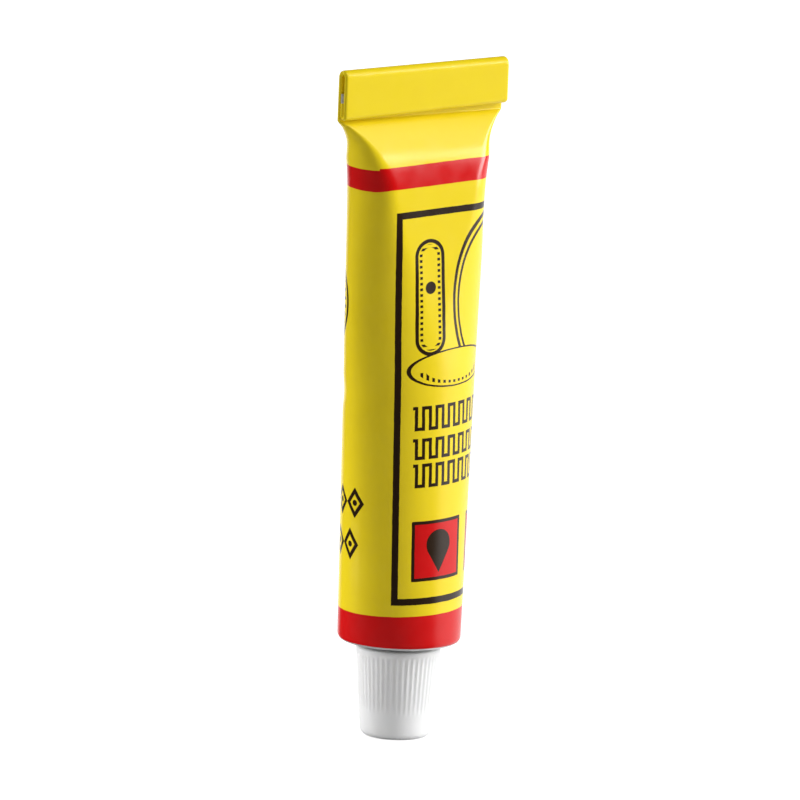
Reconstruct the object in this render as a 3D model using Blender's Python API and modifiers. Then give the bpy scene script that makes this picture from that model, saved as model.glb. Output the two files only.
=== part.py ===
"""Collapsible metal tube of rubber cement with a ribbed screw cap, standing on its cap.

Run it with blender --background --python part.py, or from Blender's text editor.
The frame is +Z up, in metres, with the origin at the centre of the cap's foot. The tube's
flattened tail runs along X, and its folds lie on the -Y side.
"""

import math

import bmesh
import bpy
import numpy as np
from mathutils import Matrix

MM = 0.001

# Tube: the sleeve, its shoulder and neck, and the folded tail are one piece of aluminium.
TUBE_DIAMETER = 13.5 * MM
SLEEVE_LENGTH = 57.6 * MM
WALL = 0.13 * MM
SHOULDER_RISE = 1.1 * MM
SHOULDER_WALL = 0.5 * MM
CORNER_RADIUS = 0.5 * MM
NECK_RADIUS = 2.95 * MM
NECK_WALL = 0.85 * MM
NOZZLE_RADIUS = 2.0 * MM
ORIFICE_RADIUS = 1.4 * MM
NOZZLE_CHAMFER = 0.55 * MM

# How the round sleeve flattens towards the tail.
DEPTH_LOST = 0.41
PINCH_POWER = 30.0
PINCH_ROOT = 0.62
SQUARENESS_TAIL = 8.0
SQUARING_POWER = 8.0
PRESS_STRETCH = 0.014

# Folded tail: a double sheet, turned over twice, with sealing compound inside it.
FOLD_HEIGHT = 5.7 * MM
SEAL_GAP = 0.26 * MM
LAYER_GAP = 0.06 * MM
PINCH_GAP = 0.2 * MM
RAW_EDGE_HEIGHT = 2.9 * MM

# Thread between the neck and the cap.
THREAD_PITCH = 1.5 * MM
THREAD_RIDGE = 0.40 * MM
THREAD_CLEARANCE = 0.15 * MM
THREAD_MARGIN = 0.5 * MM

# Cap: its closed end holds a spike in a recess, for opening the nozzle.
CAP_HEIGHT = 9.9 * MM
CAP_WALL = 1.15 * MM
CAP_TAPER = 0.75 * MM
FOOT_FILLET = 0.8 * MM
RIM_FILLET = 0.15 * MM
RIM_GAP = 0.3 * MM
RECESS_DEPTH = 3.0 * MM
RECESS_CLEARANCE = 0.2 * MM
CAP_WEB = 0.8 * MM
SPIKE_RADIUS = 1.1 * MM
SPIKE_SHORT = 0.4 * MM
FLUTES = 48
FLUTE_RADIUS = 0.28 * MM
FLUTE_DEPTH = 0.15 * MM
FLUTE_LOW = 3.0 * MM
COLLAR_HEIGHT = 0.65 * MM

# Loose contents.
LINER_THICKNESS = 0.8 * MM
LINER_CLEARANCE = 0.1 * MM
SEAT_GAP = 0.05 * MM
GLUE_GAP = 0.1 * MM
HEADSPACE = 7.0 * MM
SEAL_FILM_GAP = 0.05 * MM

# Facets.
AROUND = 40
CAP_STEPS = FLUTES
SLEEVE_STATIONS = 14
STATION_CROWDING = 2.2
SLOPE_STEP = 0.0001
ARC_STEPS = 6
FILLET_STEPS = 4
TURN_POINTS = 24
MERGE = 0.00001

# What follows from the sizes above.
TUBE_RADIUS = TUBE_DIAMETER / 2
PERIMETER = math.pi * TUBE_DIAMETER
TAIL_HALF = WALL + SEAL_GAP / 2
LAYER_PITCH = 2 * TAIL_HALF + LAYER_GAP
CAP_BORE = NECK_RADIUS + THREAD_RIDGE + THREAD_CLEARANCE
CAP_RIM_RADIUS = CAP_BORE + CAP_WALL
CAP_FOOT_RADIUS = CAP_RIM_RADIUS - CAP_TAPER
RECESS_RADIUS = NOZZLE_RADIUS + RECESS_CLEARANCE
CAVITY_FLOOR = RECESS_DEPTH + CAP_WEB
LINER_BOTTOM = CAVITY_FLOOR + SEAT_GAP
NOZZLE_TIP = LINER_BOTTOM + LINER_THICKNESS + SEAT_GAP
NECK_BASE = CAP_HEIGHT + RIM_GAP
SLEEVE_BOTTOM = NECK_BASE + SHOULDER_RISE
PINCH_END = SLEEVE_BOTTOM + SLEEVE_LENGTH
FOLD_BASE = PINCH_END + PINCH_GAP
FOLD_TOP = FOLD_BASE + FOLD_HEIGHT


def clear_scene():
    for obj in list(bpy.data.objects):
        bpy.data.objects.remove(obj)


def make_collection(name):
    collection = bpy.data.collections.new(name)
    bpy.context.scene.collection.children.link(collection)
    return collection


def make_material(name, colour, roughness, metallic=0.0):
    material = bpy.data.materials.new(name)
    material.use_nodes = True
    shader = material.node_tree.nodes["Principled BSDF"]
    shader.inputs["Base Color"].default_value = (*colour, 1.0)
    shader.inputs["Roughness"].default_value = roughness
    shader.inputs["Metallic"].default_value = metallic
    return material


def add_object(name, mesh, collection, material=None):
    obj = bpy.data.objects.new(name, mesh)
    collection.objects.link(obj)
    if material:
        mesh.materials.append(material)
    return obj


def shade_round(obj, angle=math.radians(35)):
    obj.data.shade_smooth()
    obj.data.set_sharp_from_angle(angle=angle)


def flat_section(half_width, half_depth, squareness):
    """A closed superellipse as (x, depth) points: an ellipse at squareness 2, nearly a flat loop at 8."""
    turn = np.arange(AROUND) * 2 * math.pi / AROUND
    c, s = np.cos(turn), np.sin(turn)
    c[np.abs(c) < 1e-12] = 0.0
    s[np.abs(s) < 1e-12] = 0.0
    x = half_width * np.sign(c) * np.abs(c) ** (2 / squareness)
    depth = half_depth * np.sign(s) * np.abs(s) ** (2 / squareness)
    return x, depth


def section_length(half_width, half_depth, squareness):
    x, depth = flat_section(half_width, half_depth, squareness)
    return np.hypot(np.diff(x, append=x[0]), np.diff(depth, append=depth[0])).sum()


def width_for(half_depth, squareness):
    """The half width that keeps the sleeve's girth, but for the little that the press stretches it."""
    stretch = PRESS_STRETCH * (squareness - 2) / (SQUARENESS_TAIL - 2)
    girth = section_length(TUBE_RADIUS, TUBE_RADIUS, 2.0) * (1 + stretch)
    low, high = TUBE_RADIUS * 0.5, PERIMETER / 3
    for _ in range(40):
        middle = (low + high) / 2
        if section_length(middle, half_depth, squareness) < girth:
            low = middle
        else:
            high = middle
    return low


def sleeve_depth(share):
    """Half depth of the sleeve, from round at share 0 to pinched flat at share 1."""
    fullness = (1 - DEPTH_LOST * share) * (1 - share**PINCH_POWER) ** PINCH_ROOT
    return TAIL_HALF + (TUBE_RADIUS - TAIL_HALF) * fullness


def sleeve_stations():
    """(y, z, normal, half depth, squareness, slope) up the sleeve, closer together near the pinch."""
    stations = []
    for step in range(SLEEVE_STATIONS + 1):
        share = 1 - (1 - step / SLEEVE_STATIONS) ** STATION_CROWDING
        z = SLEEVE_BOTTOM + SLEEVE_LENGTH * share
        half_depth = sleeve_depth(share)
        below, above = max(share - SLOPE_STEP, 0), min(share + SLOPE_STEP, 1)
        slope = (sleeve_depth(above) - sleeve_depth(below)) / ((above - below) * SLEEVE_LENGTH)
        flatness = 1 - (half_depth - TAIL_HALF) / (TUBE_RADIUS - TAIL_HALF)
        squareness = 2 + (SQUARENESS_TAIL - 2) * flatness**SQUARING_POWER
        stations.append((0.0, z, (1.0, 0.0), half_depth, squareness, slope))
    return stations


def tail_stations():
    """The flattened double sheet: up at the back, over to the front, down, and up again inside."""
    top_centre = FOLD_TOP - TAIL_HALF - LAYER_PITCH
    low_centre = FOLD_BASE + TAIL_HALF + LAYER_PITCH / 2
    stations = []

    def add(y, z, normal):
        stations.append((y, z, normal, TAIL_HALF, SQUARENESS_TAIL, 0.0))

    def arc(y, z, radius, start):
        for step in range(ARC_STEPS + 1):
            turn = start + math.pi * step / ARC_STEPS
            out = (math.cos(turn), math.sin(turn))
            add(y + radius * out[0], z + radius * out[1], out)

    add(0.0, FOLD_BASE, (1.0, 0.0))
    arc(-LAYER_PITCH, top_centre, LAYER_PITCH, 0.0)
    arc(-1.5 * LAYER_PITCH, low_centre, LAYER_PITCH / 2, math.pi)
    add(-LAYER_PITCH, FOLD_BASE + RAW_EDGE_HEIGHT, (1.0, 0.0))
    return stations


def ring_at(station, inset):
    """The station's section as points in space, moved inwards by inset, square to the surface."""
    y, z, normal, half_depth, squareness, slope = station
    lean = math.hypot(1, slope)
    half_width = width_for(half_depth, squareness)
    x, depth = flat_section(half_width - inset, half_depth - inset / lean, squareness)
    drop = inset * slope / lean
    return np.column_stack([x, y + depth * normal[0], z + drop + depth * normal[1]])


def round_ring(radius, z):
    x, y = flat_section(radius, radius, 2.0)
    return np.column_stack([x, y, np.full(AROUND, z)])


def loft(name, rings, first_pole, last_pole, collection, material):
    """One closed skin through the rings in turn, brought to a point at each end."""
    mesh_data = bmesh.new()
    rows = [[mesh_data.verts.new(point) for point in ring] for ring in rings]
    for low, high in zip(rows, rows[1:]):
        for i in range(AROUND):
            j = (i + 1) % AROUND
            mesh_data.faces.new((low[i], low[j], high[j], high[i]))
    for pole, row in ((first_pole, rows[0]), (last_pole, rows[-1])):
        tip = mesh_data.verts.new(pole)
        for i in range(AROUND):
            mesh_data.faces.new((tip, row[i], row[(i + 1) % AROUND]))
    bmesh.ops.recalc_face_normals(mesh_data, faces=mesh_data.faces)
    mesh = bpy.data.meshes.new(name)
    mesh_data.to_mesh(mesh)
    mesh_data.free()
    obj = add_object(name, mesh, collection, material)
    shade_round(obj)
    return obj


def arc_points(centre, radius, start, end, steps):
    """Points on an arc in the (radius, z) plane, from angle start to end in degrees."""
    points = []
    for step in range(steps + 1):
        turn = math.radians(start + (end - start) * step / steps)
        points.append((centre[0] + radius * math.cos(turn), centre[1] + radius * math.sin(turn)))
    return points


def turned(name, profile, collection, material):
    """A solid of revolution. The profile runs (radius, z) down its outer side."""
    mesh = bpy.data.meshes.new(name)
    edges = [(i, i + 1) for i in range(len(profile) - 1)]
    mesh.from_pydata([(r, 0, z) for r, z in profile], edges, [])
    obj = add_object(name, mesh, collection, material)
    screw = obj.modifiers.new("turn", "SCREW")
    screw.steps = screw.render_steps = CAP_STEPS
    screw.use_merge_vertices = True
    screw.merge_threshold = MERGE
    return obj


def curve_to_mesh(obj, name, collection):
    """A closed mesh from a bevelled curve, which takes a Boolean."""
    bpy.context.view_layer.update()
    evaluated = obj.evaluated_get(bpy.context.evaluated_depsgraph_get())
    mesh = bpy.data.meshes.new_from_object(evaluated)
    mesh_data = bmesh.new()
    mesh_data.from_mesh(mesh)
    bmesh.ops.remove_doubles(mesh_data, verts=mesh_data.verts, dist=MERGE)
    bmesh.ops.recalc_face_normals(mesh_data, faces=mesh_data.faces)
    mesh_data.to_mesh(mesh)
    mesh_data.free()
    made = add_object(name, mesh, collection)
    made.matrix_world = obj.matrix_world
    bpy.data.objects.remove(obj)
    return made


def as_helper(obj):
    obj.hide_render = True
    obj.display_type = "WIRE"
    return obj


def thread_ridge(name, radius, low, high, phase, cutters):
    """A right-handed ridge of round section that climbs one pitch a turn between low and high."""
    curve = bpy.data.curves.new(name, "CURVE")
    curve.dimensions = "3D"
    curve.bevel_depth = THREAD_RIDGE
    curve.bevel_resolution = 2
    curve.use_fill_caps = True
    turns = (high - low) / THREAD_PITCH
    count = math.ceil(turns * TURN_POINTS) + 1
    spline = curve.splines.new("POLY")
    spline.points.add(count - 1)
    for index, point in enumerate(spline.points):
        turn = 2 * math.pi * turns * index / (count - 1)
        z = low + THREAD_PITCH * turn / (2 * math.pi)
        angle = turn + 2 * math.pi * (low - phase) / THREAD_PITCH
        point.co = (radius * math.cos(angle), radius * math.sin(angle), z, 1)
    obj = add_object(name, curve, cutters)
    return as_helper(curve_to_mesh(obj, name, cutters))


def add_boolean(obj, tool, operation):
    modifier = obj.modifiers.new(tool.name, "BOOLEAN")
    modifier.operation = operation
    modifier.solver = "EXACT"
    modifier.object = tool


def build_tube(part, cutters):
    enamel = make_material("enamel_yellow", (0.87, 0.72, 0.03), 0.25)
    corner = arc_points(
        (TUBE_RADIUS - CORNER_RADIUS, SLEEVE_BOTTOM), CORNER_RADIUS, -70, 0, FILLET_STEPS
    )
    corner_in = CORNER_RADIUS - WALL
    inner_corner = (TUBE_RADIUS - CORNER_RADIUS - corner_in, SLEEVE_BOTTOM + SHOULDER_WALL - WALL)
    neck_inside = NECK_RADIUS - NECK_WALL
    outside = [
        (ORIFICE_RADIUS, NOZZLE_TIP),
        (NOZZLE_RADIUS, NOZZLE_TIP),
        (NECK_RADIUS, NOZZLE_TIP + NOZZLE_CHAMFER),
        (NECK_RADIUS, NECK_BASE),
        *corner,
    ]
    inside = [
        (TUBE_RADIUS - WALL, SLEEVE_BOTTOM + SHOULDER_WALL),
        inner_corner,
        (neck_inside, NECK_BASE + SHOULDER_WALL),
        (neck_inside, NOZZLE_TIP + NOZZLE_CHAMFER + WALL),
        (ORIFICE_RADIUS, NOZZLE_TIP + WALL),
    ]
    sheet = sleeve_stations() + tail_stations()
    rings = [round_ring(r, z) for r, z in outside]
    rings += [ring_at(station, 0.0) for station in sheet[1:]]
    rings += [ring_at(station, WALL) for station in reversed(sheet[2:])]
    rings += [round_ring(r, z) for r, z in inside]
    body = loft(
        "tube_body", rings, (0, 0, NOZZLE_TIP), (0, 0, NOZZLE_TIP + WALL), part, enamel
    )
    low = NOZZLE_TIP + NOZZLE_CHAMFER + THREAD_MARGIN
    high = NECK_BASE - THREAD_RIDGE - THREAD_MARGIN
    ridge = thread_ridge("neck_thread", NECK_RADIUS, low, high, NOZZLE_TIP, cutters)
    add_boolean(body, ridge, "UNION")


def build_seal(part):
    """The dried sealing compound, a film that fills the tail's flattened double sheet."""
    latex = make_material("seal_latex", (0.62, 0.60, 0.52), 0.6)
    stations = tail_stations()
    y, z, *rest = stations[-1]
    stations[-1] = (y, z - SEAL_GAP, *rest)
    rings = [ring_at(station, WALL + SEAL_FILM_GAP) for station in stations]
    ends = [tuple(ring.mean(axis=0)) for ring in (rings[0], rings[-1])]
    loft("tail_seal", rings, *ends, part, latex)


def build_glue(part):
    """The rubber cement, which fills the nozzle, the shoulder and the sleeve to just under the tail."""
    cement = make_material("rubber_cement", (0.75, 0.66, 0.42), 0.2)
    neck_inside = NECK_RADIUS - NECK_WALL
    tip = NOZZLE_TIP + WALL + GLUE_GAP
    rings = [
        round_ring(ORIFICE_RADIUS - GLUE_GAP, tip),
        round_ring(neck_inside - GLUE_GAP, NOZZLE_TIP + NOZZLE_CHAMFER + WALL + GLUE_GAP),
        round_ring(neck_inside - GLUE_GAP, NECK_BASE + SHOULDER_WALL + GLUE_GAP),
        round_ring(
            TUBE_RADIUS - CORNER_RADIUS - GLUE_GAP, SLEEVE_BOTTOM + SHOULDER_WALL + GLUE_GAP
        ),
    ]
    level = PINCH_END - HEADSPACE
    rings += [
        ring_at(station, WALL + GLUE_GAP)
        for station in sleeve_stations()
        if SLEEVE_BOTTOM + SHOULDER_RISE < station[1] < level
    ]
    top = rings[-1].mean(axis=0)
    loft("glue_fill", rings, (0, 0, tip), tuple(top), part, cement)


def flute_cutters(cutters):
    """A ring of thin round bars, one for each flute, deepest at the collar and running out below.

    Each bar stands half a step round, so its flute lies within one facet of the cap."""
    top = CAP_HEIGHT - COLLAR_HEIGHT
    length = top - FLUTE_LOW
    slope = CAP_TAPER / CAP_HEIGHT
    low_centre = CAP_FOOT_RADIUS + slope * FLUTE_LOW + FLUTE_RADIUS
    high_centre = CAP_FOOT_RADIUS + slope * top + FLUTE_RADIUS - FLUTE_DEPTH
    mesh_data = bmesh.new()
    bmesh.ops.create_cone(
        mesh_data, cap_ends=True, segments=8, radius1=FLUTE_RADIUS, radius2=FLUTE_RADIUS, depth=length
    )
    for vert in mesh_data.verts:
        share = vert.co.z / length + 0.5
        vert.co.x += low_centre + (high_centre - low_centre) * share
        vert.co.z += FLUTE_LOW + length / 2
    half_step = Matrix.Rotation(math.pi / FLUTES, 3, "Z")
    bmesh.ops.rotate(mesh_data, verts=mesh_data.verts, cent=(0, 0, 0), matrix=half_step)
    mesh = bpy.data.meshes.new("flute_cutter")
    mesh_data.to_mesh(mesh)
    mesh_data.free()
    cutter = add_object("flute_cutter", mesh, cutters)
    turner = bpy.data.objects.new("flute_turn", None)
    cutters.objects.link(turner)
    turner.rotation_euler.z = 2 * math.pi / FLUTES
    array = cutter.modifiers.new("around", "ARRAY")
    array.count = FLUTES
    array.use_relative_offset = False
    array.use_object_offset = True
    array.offset_object = turner
    return as_helper(cutter)


def build_cap(part, cutters):
    plastic = make_material("cap_white", (0.83, 0.83, 0.82), 0.45)
    rim = arc_points(
        (CAP_RIM_RADIUS - RIM_FILLET, CAP_HEIGHT - RIM_FILLET), RIM_FILLET, 90, 0, 2
    )
    foot = arc_points((CAP_FOOT_RADIUS - FOOT_FILLET, FOOT_FILLET), FOOT_FILLET, 0, -90, FILLET_STEPS)
    profile = [
        (0.0, CAVITY_FLOOR),
        (CAP_BORE, CAVITY_FLOOR),
        (CAP_BORE, CAP_HEIGHT),
        *rim,
        *foot,
        (RECESS_RADIUS, 0.0),
        (RECESS_RADIUS, RECESS_DEPTH),
        (SPIKE_RADIUS, RECESS_DEPTH),
        (0.0, SPIKE_SHORT),
    ]
    cap = turned("cap_shell", profile, part, plastic)
    add_boolean(cap, flute_cutters(cutters), "DIFFERENCE")
    low = LINER_BOTTOM + LINER_THICKNESS + THREAD_RIDGE + SEAT_GAP
    high = CAP_HEIGHT - THREAD_RIDGE - SEAT_GAP
    phase = NOZZLE_TIP + THREAD_PITCH / 2
    ridge = thread_ridge("cap_thread", CAP_BORE, low, high, phase, cutters)
    add_boolean(cap, ridge, "UNION")


def build_liner(part):
    foam = make_material("liner_foam", (0.88, 0.88, 0.85), 0.7)
    mesh_data = bmesh.new()
    radius = CAP_BORE - THREAD_RIDGE - LINER_CLEARANCE
    bmesh.ops.create_cone(
        mesh_data, cap_ends=True, segments=AROUND, radius1=radius, radius2=radius, depth=LINER_THICKNESS
    )
    mesh = bpy.data.meshes.new("cap_liner")
    mesh_data.to_mesh(mesh)
    mesh_data.free()
    liner = add_object("cap_liner", mesh, part, foam)
    liner.location.z = LINER_BOTTOM + LINER_THICKNESS / 2


def main():
    clear_scene()
    part = make_collection("glue_tube")
    cutters = make_collection("cutters")
    build_tube(part, cutters)
    build_seal(part)
    build_glue(part)
    build_cap(part, cutters)
    build_liner(part)


main()
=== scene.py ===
import math

import bpy
from mathutils import Matrix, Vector
import numpy as np


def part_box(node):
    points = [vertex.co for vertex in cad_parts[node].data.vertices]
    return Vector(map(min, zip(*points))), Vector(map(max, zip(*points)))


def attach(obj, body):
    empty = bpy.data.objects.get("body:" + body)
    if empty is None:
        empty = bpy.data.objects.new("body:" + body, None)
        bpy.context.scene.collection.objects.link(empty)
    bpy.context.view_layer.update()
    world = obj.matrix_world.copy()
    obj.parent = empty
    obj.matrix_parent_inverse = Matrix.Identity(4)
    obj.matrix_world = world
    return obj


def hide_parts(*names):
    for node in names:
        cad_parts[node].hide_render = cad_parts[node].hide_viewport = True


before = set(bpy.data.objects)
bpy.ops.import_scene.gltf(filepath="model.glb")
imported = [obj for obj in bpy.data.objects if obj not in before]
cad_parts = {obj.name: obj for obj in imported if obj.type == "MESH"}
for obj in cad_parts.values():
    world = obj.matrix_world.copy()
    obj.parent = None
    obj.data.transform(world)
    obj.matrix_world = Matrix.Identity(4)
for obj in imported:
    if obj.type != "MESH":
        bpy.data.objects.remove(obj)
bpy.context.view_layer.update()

mm = 0.001

# sizes read from the frame
tubeLow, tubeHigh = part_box("tube_body")
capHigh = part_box("cap_shell")[1]
linerLow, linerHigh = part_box("cap_liner")
glueLow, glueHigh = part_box("glue_fill")
sleeveRadius = tubeHigh.y
girth = 2 * math.pi * sleeveRadius
fanStep = 0.002                # how far past the last row a closing fan reaches, in surface coordinates


# small tools for arrays and meshes
def smoothStep(low, high, x):
    # 0 up to low, 1 from high on, and 3 t^2 - 2 t^3 between them
    t = np.clip((x - low) / (high - low), 0, 1)
    return t * t * (3 - 2 * t)


def bump(x, centre, halfWidth):
    # a smooth hump: (1 - t^2)^2, with t the distance from the centre in half widths, and 0 outside
    t = np.clip(np.abs(x - centre) / halfWidth, 0, 1)
    return (1 - t * t) ** 2


def meshFromRings(name, rings, rowShares, columnShares, poles):
    # rings is rows x columns x 3, each row closed on itself; quads join the rows and a fan closes each end
    rows, columns = rings.shape[:2]
    points = rings.reshape(-1, 3)
    wide = np.append(columnShares, columnShares[0] + 1)
    r, c = np.meshgrid(np.arange(rows - 1), np.arange(columns), indexing="ij")
    n = (c + 1) % columns
    quads = np.stack([r * columns + c, r * columns + n, (r + 1) * columns + n, (r + 1) * columns + c], -1)
    quads = quads.reshape(-1, 4)
    left, right, lower, upper = wide[c], wide[c + 1], rowShares[r], rowShares[r + 1]
    uv = [np.stack([left, lower, right, lower, right, upper, left, upper], -1).reshape(-1, 2)]
    fans = []
    for row, pole, side in ((0, poles[0], -1), (rows - 1, poles[1], 1)):
        first, second = (c[0], n[0])[::side]
        a, b = (wide[:-1], wide[1:])[::side]
        tip = np.full(columns, len(points))
        fans.append(np.stack([row * columns + first, row * columns + second, tip], -1))
        points = np.vstack([points, pole])
        edge = np.full(columns, rowShares[row])
        uv.append(np.stack([a, edge, b, edge, (a + b) / 2, edge + side * fanStep], -1).reshape(-1, 2))
    triangles = np.concatenate(fans)
    loops = np.concatenate([quads.ravel(), triangles.ravel()])
    starts = np.concatenate([np.arange(len(quads)) * 4, len(quads) * 4 + np.arange(len(triangles)) * 3])
    mesh = bpy.data.meshes.new(name)
    mesh.vertices.add(len(points))
    mesh.vertices.foreach_set("co", points.astype(np.float32).ravel())
    mesh.loops.add(len(loops))
    mesh.loops.foreach_set("vertex_index", loops.astype(np.int32))
    mesh.polygons.add(len(starts))
    mesh.polygons.foreach_set("loop_start", starts.astype(np.int32))
    mesh.update(calc_edges=True)
    layer = mesh.uv_layers.new(name="surface")
    layer.data.foreach_set("uv", np.vstack(uv).astype(np.float32).ravel())
    mesh.validate()
    mesh.shade_smooth()
    piece = bpy.data.objects.new(name, mesh)
    bpy.context.scene.collection.objects.link(piece)
    return piece


def runAlong(points):
    # how far each point lies along a chain of points
    steps = np.linalg.norm(np.diff(points, axis=0), axis=1)
    return np.concatenate([[0], np.cumsum(steps)])


def withMargin(run, margin=0.01):
    # a run as shares of its length, kept clear of 0 and 1
    return margin + (1 - 2 * margin) * run / run[-1]


def arcRun(centre, radius, start, end, count):
    # points on an arc in the radius and height plane, from angle start to end in degrees
    turn = np.radians(np.linspace(start, end, count))
    return np.column_stack([centre[0] + radius * np.cos(turn), centre[1] + radius * np.sin(turn)])


def chain(start, *legs):
    # straight runs from point to point; each leg is its end and its number of points, both ends counted
    runs = [[start]]
    for end, count in legs:
        runs.append(np.linspace(start, end, count)[1:])
        start = end
    return np.vstack(runs)


def turnedRings(profile, theta):
    # each profile point carried round the axis: x = r cos theta, y = r sin theta
    r, z = profile[:, :1], profile[:, 1:]
    return np.stack([r * np.cos(theta), r * np.sin(theta), z + 0 * theta], -1)


def finishPiece(piece, material, body, node):
    piece.data.materials.append(material)
    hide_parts(node)
    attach(piece, body)
    print(piece.name + ":", len(piece.data.polygons), "faces")


# shader tools
class Field:
    # a value in a node tree that can be written with plus, minus, times and over

    def __init__(self, tree, socket):
        self.tree, self.socket = tree, socket

    def apply(self, operation, *others):
        node = self.tree.nodes.new("ShaderNodeMath")
        node.operation = operation
        for i, value in enumerate((self, *others)):
            if isinstance(value, Field):
                self.tree.links.new(value.socket, node.inputs[i])
            else:
                node.inputs[i].default_value = value
        return Field(self.tree, node.outputs[0])

    def __add__(self, other):
        return self.apply("ADD", other)

    def __sub__(self, other):
        return self.apply("SUBTRACT", other)

    def __mul__(self, other):
        return self.apply("MULTIPLY", other)

    def __truediv__(self, other):
        return self.apply("DIVIDE", other)

    def __abs__(self):
        return self.apply("ABSOLUTE")

    def most(self, other):
        return self.apply("MAXIMUM", other)

    def least(self, other):
        return self.apply("MINIMUM", other)

    def root(self):
        return self.apply("SQRT")

    def fraction(self):
        return self.apply("FRACT")

    def inked(self, softness=0.03):
        # 1 where this distance is below 0, 0 where it is above, with a soft edge
        node = self.tree.nodes.new("ShaderNodeMapRange")
        node.interpolation_type = "SMOOTHSTEP"
        self.tree.links.new(self.socket, node.inputs["Value"])
        node.inputs["From Min"].default_value = -softness
        node.inputs["From Max"].default_value = softness
        node.inputs["To Min"].default_value = 1.0
        node.inputs["To Max"].default_value = 0.0
        return Field(self.tree, node.outputs["Result"])


class Finish:
    # one material under construction: its node tree, its shader and its coordinates

    def __init__(self, name):
        self.material = bpy.data.materials.new(name)
        self.material.use_nodes = True
        self.tree = self.material.node_tree
        self.shader = self.tree.nodes["Principled BSDF"]
        self.place = self.tree.nodes.new("ShaderNodeTexCoord").outputs["Object"]

    def node(self, kind, **inputs):
        # a new node with these inputs; its first output is handed back
        node = self.tree.nodes.new(kind)
        for key, value in inputs.items():
            self.put(node.inputs[key.replace("_", " ")], value)
        return node.outputs[0]

    def put(self, socket, value):
        if isinstance(value, Field):
            value = value.socket
        if isinstance(value, bpy.types.NodeSocket):
            self.tree.links.new(value, socket)
        else:
            socket.default_value = value

    def split(self, vector):
        # the three parts of a vector
        parts = self.tree.nodes.new("ShaderNodeSeparateXYZ")
        self.tree.links.new(vector, parts.inputs[0])
        return [Field(self.tree, socket) for socket in parts.outputs]

    def surface(self):
        # the piece's own surface coordinates
        uv = self.node("ShaderNodeUVMap")
        uv.node.uv_map = "surface"
        return self.split(uv)[:2]

    def noise(self, size, detail, seed=0.0):
        # noise whose grain is about this size in metres, from 0 to 1
        place = self.node("ShaderNodeMapping", Vector=self.place, Location=(seed, seed * 0.7, -seed))
        return Field(self.tree, self.node("ShaderNodeTexNoise", Vector=place, Scale=1 / size, Detail=detail))

    def ramp(self, value, low, high, toLow=0.0, toHigh=1.0):
        return Field(self.tree, self.node(
            "ShaderNodeMapRange", Value=value, From_Min=low, From_Max=high, To_Min=toLow, To_Max=toHigh
        ))

    def spread(self, noise, toLow=0.0, toHigh=1.0):
        # the part of its range that noise mostly fills, taken to these two values
        return self.ramp(noise, 0.3, 0.7, toLow, toHigh)

    def mix(self, share, first, second):
        node = self.tree.nodes.new("ShaderNodeMix")
        node.data_type = "RGBA"
        for socket, value in ((node.inputs[0], share), (node.inputs[6], first), (node.inputs[7], second)):
            self.put(socket, (*value, 1.0) if isinstance(value, tuple) else value)
        return node.outputs[2]

    def bump(self, height, distance, strength):
        return self.node("ShaderNodeBump", Height=height, Distance=distance, Strength=strength)

    def finish(self, **inputs):
        for key, value in inputs.items():
            self.put(self.shader.inputs[key.replace("_", " ")], value)
        return self.material


# the tube's shape
tube = {
    "columns": 192,
    "crowding": 0.05,          # how much closer the columns lie at the two side edges
    "wall": 0.13 * mm,
    "shoulderWall": 0.5 * mm,
    "sleeveBottom": capHigh.z + 1.4 * mm,
    "sleeveLength": 57.6 * mm,
    "poleRadius": 0.15 * mm,
    "cornerRadius": 0.75 * mm,
    "cornerFrom": -66,         # the angle in degrees at which the corner's arc starts
    "shoulderEnd": (0.66, 0.94),   # where the shoulder meets it, in corner radii inward and down
    "innerCorner": (0.1 * mm, 0.6 * mm),   # the same inside, from the wall inward and above the bottom
    "innerFrom": (1.0 * mm, 1.2 * mm),     # heights where the inner shoulder ends and the inner wall starts
    "rowCrowding": 1.9,        # the power by which the sleeve's rows crowd towards its top
    "depthLost": 0.44,         # share of its depth that the sleeve has lost just before the pinch
    "lostEvenly": 0.72,        # of that, the part lost evenly on the way up
    "lostLate": 0.30,          # and the part lost between these two shares of the height
    "lateRange": (0.5, 0.85),
    "pinchHeight": 0.095,      # the pinch's height, as a share of the sleeve's
    "pinchPower": 0.82,        # how it closes: 0.5 would be blunt, 1 is straight
    "pinchKnee": 5,            # how suddenly it starts
    "pinchTuck": 0.04,         # how much of its girth the pinch tucks in under the folds
    "tuckPlace": (0.960, 0.045),   # the tuck's middle and half height, as shares of the sleeve's height
    "panelFrom": 0.55,         # where up the sleeve its front and back start to flatten
    "creaseFrom": 0.89,        # and where the flat panels start to widen to the full width
    "creaseWidth": 0.66,       # the panels' share of the width there
    "flatFrom": 0.985,         # where the section starts to turn into the flat double sheet
    "dentsIn": (0.0, 0.03),    # shares of the height over which the dents fade in
    "dentsOut": (0.93, 0.985),
    "sheetHalf": 0.26 * mm,    # half the thickness of the flattened double sheet
    "layerPitch": 0.58 * mm,   # half the distance between the fold's back and front layers
    "pinchGap": 0.2 * mm,
    "rawEdge": 2.9 * mm,       # height of the tail's cut end above the bottom of the folds
    "foldLift": 0.62 * mm,     # how much higher the fold's lower edge is at its right end
    "liftInside": 0.3,         # the share of that lift that is left at the cut end
    "foldDroop": 0.20 * mm,    # how much lower the fold's top is at its left end
    "foldCorner": 0.42 * mm,   # radius of the fold's four corners
    "stretch": 0.0134,         # how much longer than the girth the fold is round about
    "sleeveRows": 150,
    "tailRows": 12,
    "sectionSteps": 361,       # points on each half ellipse while a section is measured
    "widthTries": 36,          # halvings in the search for a section's half width
    "widthRange": (0.5, 1.8),  # where the search starts, in sleeve radii
    "printMargin": 0.005,      # surface coordinates kept free at both ends
}
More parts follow.
